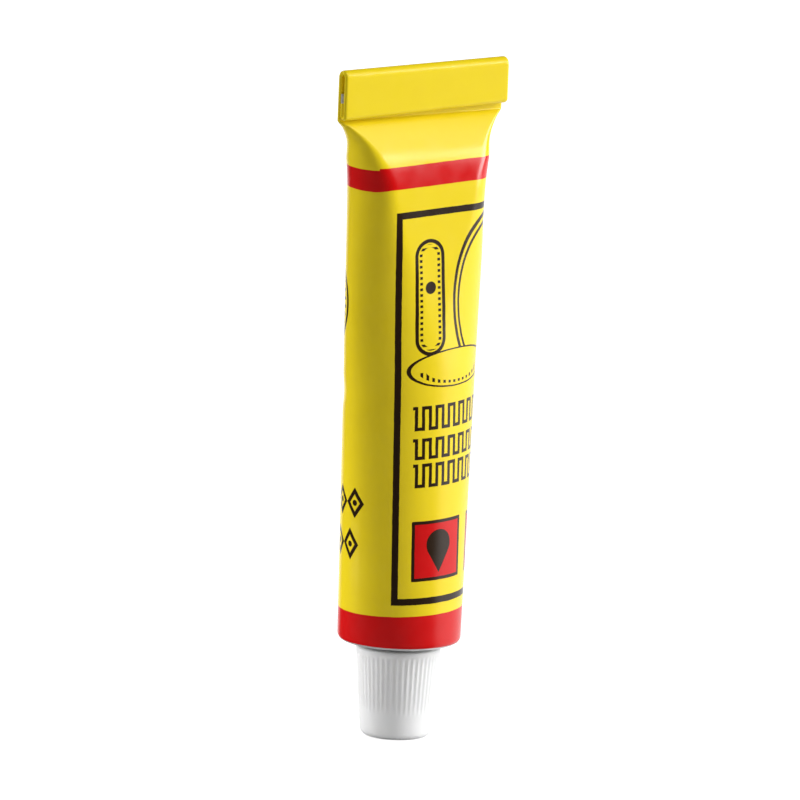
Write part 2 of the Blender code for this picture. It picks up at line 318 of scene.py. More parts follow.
neck = {
    "radius": 2.95 * mm,
    "wall": 0.85 * mm,
    "nozzleRadius": 2.0 * mm,
    "orificeRadius": 1.4 * mm,
    "chamfer": 0.55 * mm,
    "ridge": 0.38 * mm,        # the thread ridge's height
    "ridgeFoot": 0.34 * mm,    # half the ridge's width at its foot
    "ridgeCrest": 0.14 * mm,
    "ridgeFade": (0.1 * mm, 0.35 * mm),    # how far it runs out past its ends and before them
    "pitch": 1.5 * mm,
    "margin": 0.5 * mm,
}
dents = [
    # distance round from the front line, height above the sleeve's bottom, half sizes, depth
    (-11.5 * mm, 27.0 * mm, 7.5 * mm, 2.2 * mm, 0.14 * mm),
    (-9.0 * mm, 9.0 * mm, 6.0 * mm, 3.5 * mm, 0.05 * mm),
    (4.0 * mm, 36.0 * mm, 7.0 * mm, 8.0 * mm, 0.06 * mm),
    (8.5 * mm, 47.5 * mm, 3.5 * mm, 6.0 * mm, 0.10 * mm),
    (15.0 * mm, 20.0 * mm, 6.0 * mm, 9.0 * mm, 0.07 * mm),
    (-19.0 * mm, 40.0 * mm, 7.0 * mm, 6.0 * mm, 0.08 * mm),
]
waviness = {
    "height": 0.014 * mm,
    "firstRound": 2.9 * mm,    # the first wave turns by one radian in this length round and in this length up
    "firstUp": 6.1 * mm,
    "secondUp": 4.3 * mm,
    "secondWaves": 2,          # the second wave's number of waves round the sleeve
}

# each column's share of the girth, 0 at the back and 0.5 in front, and its angle from +X
evenShares = np.arange(tube["columns"]) / tube["columns"]
around = evenShares + tube["crowding"] * np.sin(4 * math.pi * evenShares)
aroundTurn = math.pi / 2 + 2 * math.pi * around[None, :]
nozzleTip = tubeLow.z
neckBase = capHigh.z + 0.3 * mm
foldBase = tube["sleeveBottom"] + tube["sleeveLength"] + tube["pinchGap"]
foldTop = tubeHigh.z


def panelSection(halfDepth, flatShare, stretch):
    # two flat panels joined by half ellipses: at the +X end x = w + (a - w) sin t and y = b cos t, with w the
    # panels' half width, a the whole half width and b the half depth; a is searched so that the girth is kept
    turn = np.linspace(0, math.pi, tube["sectionSteps"])
    c, s = np.cos(turn), np.sin(turn)
    depth = np.hstack([halfDepth[:, None] * c, halfDepth[:, None] * -c, halfDepth[:, None]])
    low, high = (np.full(len(halfDepth), limit * sleeveRadius) for limit in tube["widthRange"])

    def across(half):
        panel = (flatShare * (half - tube["sheetHalf"]))[:, None]
        end = half[:, None] - panel
        return np.hstack([-panel - end * s, panel + end * s, -panel - end * s[:1]])

    for _ in range(tube["widthTries"]):
        middle = (low + high) / 2
        length = np.hypot(np.diff(across(middle), axis=1), np.diff(depth, axis=1)).sum(1)
        short = length < girth * stretch
        low, high = np.where(short, middle, low), np.where(short, high, middle)
    x = across(low)
    run = np.cumsum(np.hypot(np.diff(x, axis=1), np.diff(depth, axis=1)), axis=1)
    run = np.hstack([np.zeros((len(x), 1)), run / run[:, -1:]])
    # the runs start at the left end of the back panel, and the columns at the middle of it
    shift = (flatShare * (low - tube["sheetHalf"]) / (girth * stretch))[:, None]
    wanted = (around[None, :] - shift) % 1.0
    pairs = [(np.interp(w, r, a), np.interp(w, r, b)) for w, r, a, b in zip(wanted, run, x, depth)]
    return np.array([p[0] for p in pairs]), np.array([p[1] for p in pairs])


def flatSection(halfDepth, stretch):
    # two straight runs joined by half circles, with the same girth and the columns at their shares of it
    straight = (girth * stretch - 2 * math.pi * halfDepth)[:, None] / 4
    bend = math.pi * halfDepth[:, None] / 2
    quarter = straight + bend
    run = (around[None, :] * 4 * quarter) % (4 * quarter)
    # side is 0 on the way to -X and on to the front, 1 on the way back
    side = np.floor(run / (2 * quarter))
    run = run - side * 2 * quarter
    past = np.clip((run - straight) / (2 * bend), 0, 1) * math.pi
    x = -np.minimum(run, straight) - halfDepth[:, None] * np.sin(past)
    x = x + np.maximum(run - straight - 2 * bend, 0)
    depth = halfDepth[:, None] * np.cos(past)
    flip = 1 - 2 * side
    return x * flip, depth * flip


def sectionNormals(x, depth):
    # outward directions across each section, from the next point and the one before
    dx = np.roll(x, -1, 1) - np.roll(x, 1, 1)
    dy = np.roll(depth, -1, 1) - np.roll(depth, 1, 1)
    length = np.hypot(dx, dy) + 1e-12
    return dy / length, -dx / length


def surfaceNormals(rings):
    # outward directions of a skin of closed rings, from its neighbours along and across
    across = np.roll(rings, -1, 1) - np.roll(rings, 1, 1)
    normals = np.cross(across, np.gradient(rings, axis=0))
    return normals / (np.linalg.norm(normals, axis=2, keepdims=True) + 1e-12)


def dentDepth(p, q):
    # shallow humps of dent, and two slow waves of the soft metal
    first = np.sin(p / waviness["firstRound"] + q / waviness["firstUp"])
    second = np.sin(q / waviness["secondUp"] - 2 * math.pi * p / girth * waviness["secondWaves"])
    depth = waviness["height"] * (first + second)
    for p0, q0, halfP, halfQ, deep in dents:
        away = (p - p0 + girth / 2) % girth - girth / 2
        depth = depth + deep * bump(away, 0, halfP) * bump(q, q0, halfQ)
    return depth


def sleeveRings(inset):
    # up the sleeve its depth falls slowly, then pinches shut, and the section turns from round to flat.
    # its depth over the diameter is (1 - depthLost * lost) * (u / (1 + u^knee)^(1/knee))^power, with u the
    # distance left to the folds in pinch heights: near the folds that is u^power, below the pinch about 1
    t = np.linspace(0, 1, tube["sleeveRows"])
    share = 1 - (1 - t) ** tube["rowCrowding"]
    lost = tube["lostEvenly"] * share + tube["lostLate"] * smoothStep(*tube["lateRange"], share)
    left, knee = (1 - share) / tube["pinchHeight"], tube["pinchKnee"]
    pinch = (left / (1 + left ** knee) ** (1 / knee)) ** tube["pinchPower"]
    fullness = (1 - tube["depthLost"] * lost) * pinch
    halfDepth = tube["sheetHalf"] + (sleeveRadius - tube["sheetHalf"]) * fullness
    wide, crease = tube["creaseWidth"], tube["creaseFrom"]
    flatShare = wide * smoothStep(tube["panelFrom"], crease, share)
    flatShare += (1 - wide) * np.clip((share - crease) / (1 - crease), 0, 1)
    flat = smoothStep(tube["flatFrom"], 1.0, share)
    stretch = 1 + tube["stretch"] * flat - tube["pinchTuck"] * bump(share, *tube["tuckPlace"])
    x, depth = panelSection(halfDepth, flatShare, stretch)
    flatX, flatDepth = flatSection(halfDepth, stretch)
    x += (flatX - x) * flat[:, None]
    depth += (flatDepth - depth) * flat[:, None]
    z = (tube["sleeveBottom"] + share * tube["sleeveLength"])[:, None] * np.ones_like(x)
    dent = dentDepth((around - 0.5)[None, :] * girth, z - tube["sleeveBottom"])
    dent *= (smoothStep(*tube["dentsIn"], share) * (1 - smoothStep(*tube["dentsOut"], share)))[:, None]
    nx, ny = sectionNormals(x, depth)
    rings = np.stack([x - nx * dent, depth - ny * dent, z], -1)
    return rings - inset * surfaceNormals(rings)


def tailRings(inset):
    # the double sheet: up at the back, over the top, down in front, round at the bottom and up inside
    half, pitch = tube["sheetHalf"], tube["layerPitch"]
    topCentre = foldTop - half - pitch
    lowCentre = foldBase + half + pitch / 2
    rawEnd = foldBase + tube["rawEdge"]
    n = tube["tailRows"]
    turn = np.linspace(0, math.pi, 2 * n)
    ramp = np.linspace(0, 1, n)
    runs = [
        # across, height, the sheet's own outward direction as an angle, shares of the lift and of the droop
        (0.0, np.linspace(foldBase, topCentre, n)[:-1], 0.0, 0.0, ramp[:-1]),
        (pitch * np.cos(turn) - pitch, topCentre + pitch * np.sin(turn), turn, 0.0, 1.0),
        (-2 * pitch, np.linspace(topCentre, lowCentre, n)[1:-1], math.pi, ramp[1:-1], 1 - ramp[1:-1]),
        (
            -1.5 * pitch - pitch / 2 * np.cos(turn), lowCentre - pitch / 2 * np.sin(turn),
            math.pi + turn, 1.0, 0.0,
        ),
        (
            -pitch, np.linspace(lowCentre, rawEnd, n)[1:],
            2 * math.pi, np.linspace(1, tube["liftInside"], n)[1:], 0.0,
        ),
    ]
    y, z, facing, low, high = np.hstack([np.array(np.broadcast_arrays(*run)) for run in runs])
    halfDepth = np.full(len(y), half)
    x, depth = flatSection(halfDepth, np.full(len(y), 1 + tube["stretch"]))
    nx, ny = sectionNormals(x, depth)
    x, depth = x - nx * inset, depth - ny * inset
    # the fold's four corners are rounded, but not where the sheet comes up from the sleeve
    corner = tube["foldCorner"]
    folded = np.arange(len(z)) > 2 * n
    nearTop = np.clip(1 - (foldTop - z) / corner, 0, 1)
    nearLow = np.clip(1 - (z - foldBase) / corner, 0, 1) * folded
    cut = corner * (1 - np.sqrt(1 - np.maximum(nearTop, nearLow) ** 2))
    x = x * (1 - cut / tubeHigh.x)[:, None]
    across = x / tubeHigh.x
    skew = tube["foldLift"] * low[:, None] * (1 + across) / 2
    skew -= tube["foldDroop"] * high[:, None] * (1 - across) / 2
    y = y[:, None] + depth * np.cos(facing)[:, None]
    z = z[:, None] + depth * np.sin(facing)[:, None] + skew
    return np.stack([x, y, z], -1)


def threadRidge(theta, z, phase, low, high):
    # a ridge of trapezium section that climbs one pitch a turn, right-handed; it is away from the helix
    # z = phase + pitch theta / 2 pi by less than its half width, and fades out at its ends
    pitch = neck["pitch"]
    away = np.abs((z - phase - pitch * theta / (2 * math.pi) + pitch / 2) % pitch - pitch / 2)
    past, before = neck["ridgeFade"]
    fade = smoothStep(low - past, low + before, z) * (1 - smoothStep(high - before, high + past, z))
    return smoothStep(neck["ridgeFoot"], neck["ridgeCrest"], away) * fade


def buildTube():
    wall, pole = tube["wall"], tube["poleRadius"]
    bottom, corner = tube["sleeveBottom"], tube["cornerRadius"]
    inward, down = tube["shoulderEnd"]
    outside = np.vstack([
        chain(
            (pole, nozzleTip),
            ((neck["orificeRadius"], nozzleTip), 5),
            ((neck["nozzleRadius"], nozzleTip), 5),
            ((neck["radius"], nozzleTip + neck["chamfer"]), 7),
            ((neck["radius"], neckBase), 66),
            ((sleeveRadius - corner * inward, bottom - corner * down), 14),
        ),
        arcRun((sleeveRadius - corner, bottom), corner, tube["cornerFrom"], 0, 10)[:-1],
    ])
    rings = turnedRings(outside, aroundTurn)
    radii, heights = outside[:, :1], outside[:, 1:]
    onNeck = np.abs(radii - neck["radius"]) < 1e-6
    low, high = nozzleTip + neck["chamfer"] + neck["margin"], neckBase - neck["ridge"] - neck["margin"]
    ridge = neck["ridge"] * onNeck * threadRidge(aroundTurn, heights, nozzleTip, low, high)
    rings[..., :2] *= (1 + ridge / radii)[..., None]
    bore = neck["radius"] - neck["wall"]
    inward, up = tube["innerCorner"]
    shoulderFrom, wallFrom = tube["innerFrom"]
    inside = chain(
        (sleeveRadius - wall, bottom + shoulderFrom),
        ((sleeveRadius - wall - inward, bottom + up), 3),
        ((bore, neckBase + tube["shoulderWall"]), 8),
        ((bore, nozzleTip + neck["chamfer"] + wall), 6),
        ((neck["orificeRadius"], nozzleTip + wall), 4),
        ((pole, nozzleTip + wall), 3),
    )[1:]
    sleeveOut, tailOut, sleeveIn = sleeveRings(0.0), tailRings(0.0), sleeveRings(wall)
    sleeveIn = sleeveIn[sleeveIn[:, 0, 2] > bottom + wallFrom]
    # up the outside, over the folds, and with fewer rows down again inside
    skin = np.concatenate([
        rings, sleeveOut, tailOut,
        tailRings(wall)[::-3], sleeveIn[::-2], turnedRings(inside, aroundTurn),
    ])
    # heights of the print are counted along the front line
    run = runAlong(skin[:, tube["columns"] // 2])
    shares = withMargin(run, tube["printMargin"])
    piece = meshFromRings("tubeShell", skin, shares, around, ((0, 0, nozzleTip), (0, 0, nozzleTip + wall)))
    first, last = len(rings), len(rings) + len(sleeveOut) + len(tailOut) - 1
    return piece, {
        "start": shares[first],
        "scale": run[-1] / (1 - 2 * tube["printMargin"]) / mm,
        "length": (run[last] - run[first]) / mm,
    }


# the printing, in millimetres: p runs round from the front line, q up from the sleeve's bottom edge
ink = {
    "yellow": (0.89, 0.685, 0.012),
    "yellowDeep": (0.87, 0.660, 0.010),
    "red": (0.68, 0.0025, 0.0030),
    "redDeep": (0.63, 0.0018, 0.0025),
    "brown": (0.024, 0.0105, 0.0030),
    "mottleSize": 4 * mm,
    "roughness": (0.17, 0.24),
    "roughnessSize": 1.5 * mm,
    "grainSize": 0.35 * mm,
    "grainDepth": 0.003 * mm,
    "grainStrength": 0.4,
    "metal": (0.80, 0.80, 0.81),
    "metalRougher": 0.16,      # how much rougher the bare metal is than the print
    "metallic": 0.5,
}
layout = {
    "slant": 0.30,             # how far the print sits higher on the right and lower on the left
    "lean": 0.0063,            # how much it leans, round per height
    "wobble": 0.07,            # how unsteady the ink's edges are
    "wobbleSize": 1.1 * mm,
    "printEnds": (0.5, 0.9),   # how far it runs past the sleeve's bottom edge and stops before the cut end
    "lowBand": (-1.0, 3.28),
    "highBand": (50.6, 53.05),
    "seam": -6.7,              # where the print's two ends overlap
    "seamStep": 0.22,
    "seamSoft": (0.5, 1.1),    # the lower edge's step there lies this far on and is this soft
    "edge": 0.05,              # softness of the seam and of the print's ends
    "panel": (-4.85, 14.65, 4.55, 48.05),
    "panelLine": 0.74,
    "keyPitch": 0.82,
    "keyLine": 0.38,
    "squares": ((0.66, 10.45), (9.16, 10.45)),
    "squareHalf": 3.33,
    "squareCorner": 0.12,
    "squareLine": 0.36,
    "drop": (1.6, 0.65, 2.5),  # its ball's radius, the ball's and the tip's distance above and below the middle
    "ring": (1.5, 0.8),        # radius and line
    "rows": ((-2.75, 12.6, 23.8, 26.5), (-2.7, 10.8, 20.6, 22.95), (-2.65, 9.0, 17.5, 20.15)),
    "lozenges": ((-21.1, -8.1, 15.55, 1.72), (-19.25, -8.85, 10.9, 1.80)),
    "lozengePitch": 2.6,
    "lozengeLine": 0.46,
    "lozengeDot": 0.34,
    "emblem": (-15.95, 37.5, 5.05),
    "emblemLine": 0.42,
    "emblemHub": 1.6,
    "spokes": (0.9, 0.7),      # middle and length of the marks inside the emblem's ring
    "spokeTicks": (1.1, 0.4),  # their pitch and width
}
ornament = {
    "strip": (-2.35, 1.05, 32.2, 44.6, 1.68),      # sides, ends and corner radius
    "stripLine": 0.42,
    "stitch": (0.55, 0.36),    # how far inside the strip's edge its dotted line runs, and how wide
    "stitchTicks": (0.62, 0.30),
    "eye": (-0.6, 39.45, 0.68),
    "bow": (7.95, 37.6),
    "bowSquash": 0.6,
    "bowLines": ((5.45, 0.36), (4.85, 0.28)),      # radius and width of each
    "foot": (2.9, 30.4, 6.2),
    "footSquash": 3.05,
    "footLine": 0.5,
    "footMarks": (1.5, 0.95),  # how far inside the foot's edge its marks lie, and how long
    "footTicks": (0.72, 0.34),
    "footMarksTop": 30.2,
}


def enamel(place):
    skin = Finish("printedEnamel")
    u, v = skin.surface()
    wobble = (skin.noise(layout["wobbleSize"], 2, seed=5.0) - 0.5) * layout["wobble"]
    height = (v - place["start"]) * place["scale"]
    q = height + wobble
    p = (u - 0.5) * (girth / mm) + wobble + q * layout["lean"]
    # the print runs round at a slight slant, higher on the right
    q = q - ((u - 0.5) * (2 * math.pi)).apply("SINE") * layout["slant"]

    def within(value, low, high):
        # distance outside a run of values, negative inside it
        return abs(value - (low + high) / 2) - (high - low) / 2

    def box(low, high, bottom, top, corner):
        x, y = within(p, low + corner, high - corner), within(q, bottom + corner, top - corner)
        outside = (x.most(0.0) * x.most(0.0) + y.most(0.0) * y.most(0.0)).root()
        return outside + x.most(y).least(0.0) - corner

    def distance(p0, q0, squash=1.0):
        x, y = p - p0, (q - q0) * squash
        return (x * x + y * y).root()

    def lined(shape, width):
        # a line of this width along the shape's edge
        return abs(shape) - width / 2

    def inside(shape, inset, width):
        return lined(shape + inset, width)

    def ticks(value, pitch, width):
        return abs((value / pitch).fraction() - 0.5) * pitch - width / 2

    # red bands round both ends; past the seam the upper one runs a little lower
    past, edge, step = p - layout["seam"], layout["edge"], layout["seamStep"]
    onward, softness = layout["seamSoft"]
    base, head = layout["highBand"]
    lower = q * -1.0 + base - (past - onward).inked(softness) * step
    upper = q - head + past.inked(edge) * step
    red = within(q, *layout["lowBand"]).inked().most(lower.most(upper).inked())

    # the panel's line
    low, high, bottom, top = layout["panel"]
    half = layout["panelLine"] / 2
    frameEdge = within(p, low + half, high - half).most(within(q, bottom + half, top - half))
    dark = lined(frameEdge, layout["panelLine"])

    # the panel's picture, a plain ornament: an upright strip, a bow beside it and a flat ring as its foot
    strip = box(*ornament["strip"])
    stitches = inside(strip, *ornament["stitch"]).most(ticks(q, *ornament["stitchTicks"]))
    eyeP, eyeQ, eyeRadius = ornament["eye"]
    picture = lined(strip, ornament["stripLine"]).least(stitches).least(distance(eyeP, eyeQ) - eyeRadius)
    footP, footQ, footRadius = ornament["foot"]
    for radius, width in ornament["bowLines"]:
        bow = lined(distance(*ornament["bow"], ornament["bowSquash"]) - radius, width)
        picture = picture.least(bow.most(q * -1.0 + footQ))
    foot = distance(footP, footQ, ornament["footSquash"]) - footRadius
    marks = inside(foot, *ornament["footMarks"]).most(ticks(p, *ornament["footTicks"]))
    # the foot hides what stands behind it
    dark = dark.least(picture.most((foot + 0.1) * -1.0)).least(lined(foot, ornament["footLine"]))
    dark = dark.least(marks.most(q - ornament["footMarksTop"]))

    # rows of a plain key pattern in place of words: uprights joined by turns at the head and at the base
    pitch, thick = layout["keyPitch"], layout["keyLine"] / 2
    for left, right, base, head in layout["rows"]:
        run = (p - left) / pitch
        upright = abs(run.fraction() - 0.5) * pitch - thick
        # odd is 0 or 1 by turns
        odd = ((run - 0.5).apply("FLOOR") * 0.5).fraction() * 2.0
        bar = abs(q - base - thick - odd * (head - base - 2 * thick)) - thick
        dark = dark.least(upright.least(bar).most(within(p, left, right)).most(within(q, base, head)))

    # two red squares with a dark edge, the first with a drop and the second with a ring
    size, line = layout["squareHalf"], layout["squareLine"]
    for p0, q0 in layout["squares"]:
        square = box(p0 - size, p0 + size, q0 - size, q0 + size, layout["squareCorner"])
        red = red.most(square.inked())
        dark = dark.least(inside(square, line / 2, line))
    # the drop is a ball and the two straight lines from its tip that touch the ball
    (p0, q0), (p1, q1) = layout["squares"]
    ball, rise, fall = layout["drop"]
    sine = ball / (rise + fall)
    cosine = math.sqrt(1 - sine ** 2)
    above = q - q0 + fall
    tip = (abs(p - p0) * cosine - above * sine).most(above - (rise + fall) * cosine ** 2)
    dark = dark.least((distance(p0, q0 + rise) - ball).least(tip))
    ring, width = layout["ring"]
    dark = dark.least(lined(distance(p1, q1) - ring, width))

    # rows of lozenges with a dot in each on the other side, in place of a title
    wide = layout["lozengePitch"] / 2
    for left, right, middle, tall in layout["lozenges"]:
        across = ((p - right) / (2 * wide)).fraction() * (2 * wide) - wide
        lozenge = (abs(across) * tall + abs(q - middle) * wide - wide * tall) / math.hypot(wide, tall)
        dot = (across * across + (q - middle) * (q - middle)).root() - layout["lozengeDot"]
        row = inside(lozenge, layout["lozengeLine"] / 2, layout["lozengeLine"]).least(dot)
        dark = dark.least(row.most(within(p, left, right)))

    # a ring with marks round it above them
    p0, q0, radius = layout["emblem"]
    ring = distance(p0, q0) - radius
    turned = (q - q0).apply("ARCTAN2", p - p0) * radius
    spokes = inside(ring, *layout["spokes"]).most(ticks(turned, *layout["spokeTicks"]))
    hub = distance(p0, q0) - layout["emblemHub"]
    dark = dark.least(lined(ring, layout["emblemLine"])).least(spokes).least(hub)

    # the colours, with bare metal below the print and inside
    mottle = skin.spread(skin.noise(ink["mottleSize"], 4))
    yellows = skin.mix(mottle, ink["yellow"], ink["yellowDeep"])
    reds = skin.mix(mottle, ink["red"], ink["redDeep"])
    colour = skin.mix(dark.inked(), skin.mix(red, yellows, reds), ink["brown"])
    before, short = layout["printEnds"]
    printed = within(height, -before, place["length"] - short).inked(edge)
    roughness = skin.spread(skin.noise(ink["roughnessSize"], 3, seed=3.0), *ink["roughness"])
    return skin.finish(
        Base_Color=skin.mix(printed, ink["metal"], colour),
        Roughness=roughness + (printed * -1.0 + 1.0) * ink["metalRougher"],
        Metallic=skin.ramp(printed, 0, 1, ink["metallic"], 0.0),
        Normal=skin.bump(skin.noise(ink["grainSize"], 2), ink["grainDepth"], ink["grainStrength"]),
    )


tubeShell, printPlace = buildTube()
finishPiece(tubeShell, enamel(printPlace), "tube", "tube_body")


# the cap
cap = {
    "bore": 3.5 * mm,
    "boreChamfer": 0.12 * mm,
    "floor": 3.8 * mm,
    "floorFillet": 0.1 * mm,
    "footRadius": 3.9 * mm,
    "footFillet": 0.8 * mm,
    "rimFillet": 0.18 * mm,
    "recessRadius": 2.2 * mm,
    "recessDepth": 3.0 * mm,
    "recessChamfer": 0.08 * mm,
    "poleRadius": 0.05 * mm,
    "spikeRadius": 1.1 * mm,
    "spikeTip": 0.4 * mm,
    "thread": (1.3 * mm, 0.5 * mm),    # where it starts above the floor and ends below the rim
    "skin": 0.3 * mm,          # flutes lie on what is this far outside the bore and above the foot
    "flutes": 48,
    "fluteDepth": 0.12 * mm,
    "fluteLow": 2.7 * mm,
    "fluteHigh": 9.2 * mm,
    "fluteStart": 0.45,        # share of their depth at the low end
    "fluteFull": 1.2 * mm,     # they are full this far below their upper end
    "fluteFade": (0.8 * mm, 0.12 * mm),
    "flutePower": 0.8,         # below 1 the ribs between them are narrower than the hollows
    "columns": 48 * 12,
    "white": (0.91, 0.91, 0.905),
    "whiteDeep": (0.885, 0.89, 0.89),
    "cloudSize": 3 * mm,
    "grainSize": 0.12 * mm,
    "grainDepth": 0.004 * mm,
    "roughness": (0.38, 0.5),
    "scatterDepth": 1.6 * mm,
}


def buildCap():
    top, rim, foot = capHigh.z, capHigh.x, cap["footRadius"]
    fillet, small, pole = cap["footFillet"], cap["rimFillet"], cap["poleRadius"]
    recess, floor, bore = cap["recessRadius"], cap["floor"], cap["bore"]
    profile = np.vstack([
        chain(
            (pole, cap["spikeTip"]),
            ((cap["spikeRadius"], cap["recessDepth"]), 8),
            ((recess, cap["recessDepth"]), 4),
            ((recess, cap["recessChamfer"]), 6),
            ((recess + cap["recessChamfer"], 0.0), 2),
        ),
        arcRun((foot - fillet, fillet), fillet, -90, -4, 12),
        chain((foot, fillet), ((rim, top - small), 46))[1:],
        arcRun((rim - small, top - small), small, 8, 90, 5),
        chain(
            (bore + cap["boreChamfer"], top),
            ((bore, top - cap["boreChamfer"]), 2),
            ((bore, floor + cap["floorFillet"]), 64),
            ((bore - cap["floorFillet"], floor), 2),
            ((pole, floor), 5),
        ),
    ])
    share = np.arange(cap["columns"]) / cap["columns"]
    theta = 2 * math.pi * share[None, :]
    rings = turnedRings(profile, theta)
    r, z = profile[:, :1], profile[:, 1:]
    # flutes: hollows of depth (half + half cos)^power between narrow ribs, deepening upward; they run out
    # towards the foot and stop under the collar
    low, high, start = cap["fluteLow"], cap["fluteHigh"], cap["fluteStart"]
    fadeLow, fadeHigh = cap["fluteFade"]
    deep = start + (1 - start) * smoothStep(low, high - cap["fluteFull"], z)
    ends = smoothStep(low, low + fadeLow, z) * (1 - smoothStep(high - fadeHigh, high, z))
    hollow = (0.5 + 0.5 * np.cos(cap["flutes"] * theta)) ** cap["flutePower"]
    outside = (r > bore + cap["skin"]) & (z > cap["skin"])
    inward = cap["fluteDepth"] * outside * deep * ends * hollow
    # the thread in the bore lies half a pitch off the neck's
    above, below = cap["thread"]
    ridge = threadRidge(theta, z, nozzleTip + neck["pitch"] / 2, floor + above, top - below)
    inward = inward + neck["ridge"] * (np.abs(r - bore) < 1e-6) * ridge
    rings[..., :2] *= (1 - inward / r)[..., None]
    poles = ((0, 0, cap["spikeTip"]), (0, 0, floor))
    return meshFromRings("screwCap", rings, withMargin(runAlong(profile)), share, poles)


def capPlastic():
    plastic = Finish("capPlastic")
    clouds, fine = plastic.noise(cap["cloudSize"], 4), plastic.noise(cap["grainSize"], 3)
    return plastic.finish(
        Base_Color=plastic.mix(plastic.spread(clouds), cap["white"], cap["whiteDeep"]),
        Roughness=plastic.spread(fine, *cap["roughness"]),
        Specular_IOR_Level=0.35,
        Subsurface_Weight=0.6,
        Subsurface_Scale=cap["scatterDepth"],
        Subsurface_Radius=(1.0, 1.0, 0.95),
        Normal=plastic.bump(fine, cap["grainDepth"], 0.5),
    )


screwCap = buildCap()
finishPiece(screwCap, capPlastic(), "cap", "cap_shell")


# the liner in the cap, the cement and the film that closes the tail
filling = {
    "linerEdge": 0.08 * mm,
    "linerPole": 0.05 * mm,
    "linerColumns": 96,
    "dimple": (1.7 * mm, 0.45 * mm),   # radius and half width of the ring that the nozzle has pressed in
    "dimpleDepth": 0.05 * mm,
    "glueGap": 0.12 * mm,
    "gluePole": 0.1 * mm,
    "glueNeck": 1.95 * mm,
    "glueChamfer": 0.7 * mm,
    "glueFloor": 0.15 * mm,            # its height above the shoulder
    "glueCorner": (0.25 * mm, 0.95 * mm),
    "glueSide": 1.3 * mm,              # where above the sleeve's bottom its side starts
    "sealThickness": 0.10 * mm,
    "sealWidth": 0.985,                # share of the tail's width
}
looks = {
    # two colours, roughness, size and depth of the grain
    "linerFoam": ((0.78, 0.79, 0.80), (0.70, 0.71, 0.73), 0.7, 0.15 * mm, 0.02 * mm),
    "rubberCement": ((0.62, 0.50, 0.24), (0.54, 0.42, 0.18), 0.2, 0.8 * mm, 0.02 * mm),
    "sealLatex": ((0.74, 0.64, 0.46), (0.66, 0.56, 0.38), 0.5, 0.4 * mm, 0.01 * mm),
}


def buildLiner():
    low, high, radius = linerLow.z, linerHigh.z, linerHigh.x
    edge, pole = filling["linerEdge"], filling["linerPole"]
    upper = chain((radius - edge, high), ((neck["nozzleRadius"] + 0.1 * mm, high), 5), ((pole, high), 12))[1:]
    upper = np.vstack([[(radius - edge, high)], upper])
    upper[:, 1] -= filling["dimpleDepth"] * bump(upper[:, 0], *filling["dimple"])
    profile = np.vstack([
        chain((pole, low), ((radius - edge, low), 8)),
        arcRun((radius - edge, low + edge), edge, -70, 0, 4),
        arcRun((radius - edge, high - edge), edge, 0, 90, 5)[:-1],
        upper,
    ])
    share = np.arange(filling["linerColumns"]) / filling["linerColumns"]
    rings = turnedRings(profile, 2 * math.pi * share[None, :])
    return meshFromRings("linerDisc", rings, withMargin(runAlong(profile)), share, ((0, 0, low), (0, 0, high)))


def buildGlue():
    gap, neckSide = tube["wall"] + filling["glueGap"], filling["glueNeck"]
    low, top, bottom, chamfer = glueLow.z, glueHigh.z, tube["sleeveBottom"], filling["glueChamfer"]
    inward, up = filling["glueCorner"]
    profile = chain(
        (filling["gluePole"], low),
        ((neckSide - chamfer, low), 4),
        ((neckSide, low + chamfer), 4),
        ((neckSide, neckBase + tube["shoulderWall"] + filling["glueFloor"]), 6),
        ((sleeveRadius - gap - inward, bottom + up), 10),
    )
    sleeve = sleeveRings(gap)
    heights = sleeve[:, 0, 2]
    sleeve = sleeve[(heights > bottom + filling["glueSide"]) & (heights < top)]
    lid = sleeve[-1][None] * np.linspace(0.97, 0.05, 9)[:, None, None]
    lid[..., 2] = top
    rings = np.concatenate([turnedRings(profile, aroundTurn), sleeve, lid])
    shares = withMargin(np.arange(len(rings)))
    return meshFromRings("cementFill", rings, shares, around, ((0, 0, low), (0, 0, top)))


def buildSeal():
    rings = tailRings(tube["sheetHalf"] - filling["sealThickness"] / 2)[:-1]
    rings = rings * np.array([filling["sealWidth"], 1, 1])
    shares = withMargin(np.arange(len(rings)))
    return meshFromRings("tailFilm", rings, shares, around, (rings[0].mean(0), rings[-1].mean(0)))


def softMaterial(name, first, second, roughness, grainSize, grainDepth):
    finish = Finish(name)
    clouds, fine = finish.noise(2.5 * mm, 4), finish.noise(grainSize, 3)
    return finish.finish(
        Base_Color=finish.mix(finish.spread(clouds), first, second),
        Roughness=finish.spread(fine, roughness - 0.06, roughness + 0.06),
        Normal=finish.bump(fine, grainDepth, 0.6),
    )


for build, look, body, slot, node in (
    (buildLiner, "linerFoam", "liner", "liner_foam", "cap_liner"),
    (buildGlue, "rubberCement", "tube", "rubber_cement", "glue_fill"),
    (buildSeal, "sealLatex", "tube", "seal_latex", "tail_seal"),
):
    finishPiece(build(), softMaterial(look, *looks[look]), body, node)


# the camera, from the front left and a little above
view = {
    "azimuth": -33.4,
    "elevation": 11.15,
    "roll": 2.27,
    "distance": 3.0,
    "sensor": 36.0,
    "widthSeen": 87.24 * mm,    # how much the view takes in at the object
    "aimRight": -0.89 * mm,
    "aimHeight": 37.2 * mm,
}


def directions(azimuth, elevation):
    # the way out to a camera or lamp and the level one to its right; azimuth 0 is in front, 90 on the +X side
    a, e = math.radians(azimuth), math.radians(elevation)
    out = np.array([math.sin(a) * math.cos(e), -math.cos(a) * math.cos(e), math.sin(e)])
    return out, np.array([math.cos(a), math.sin(a), 0.0])


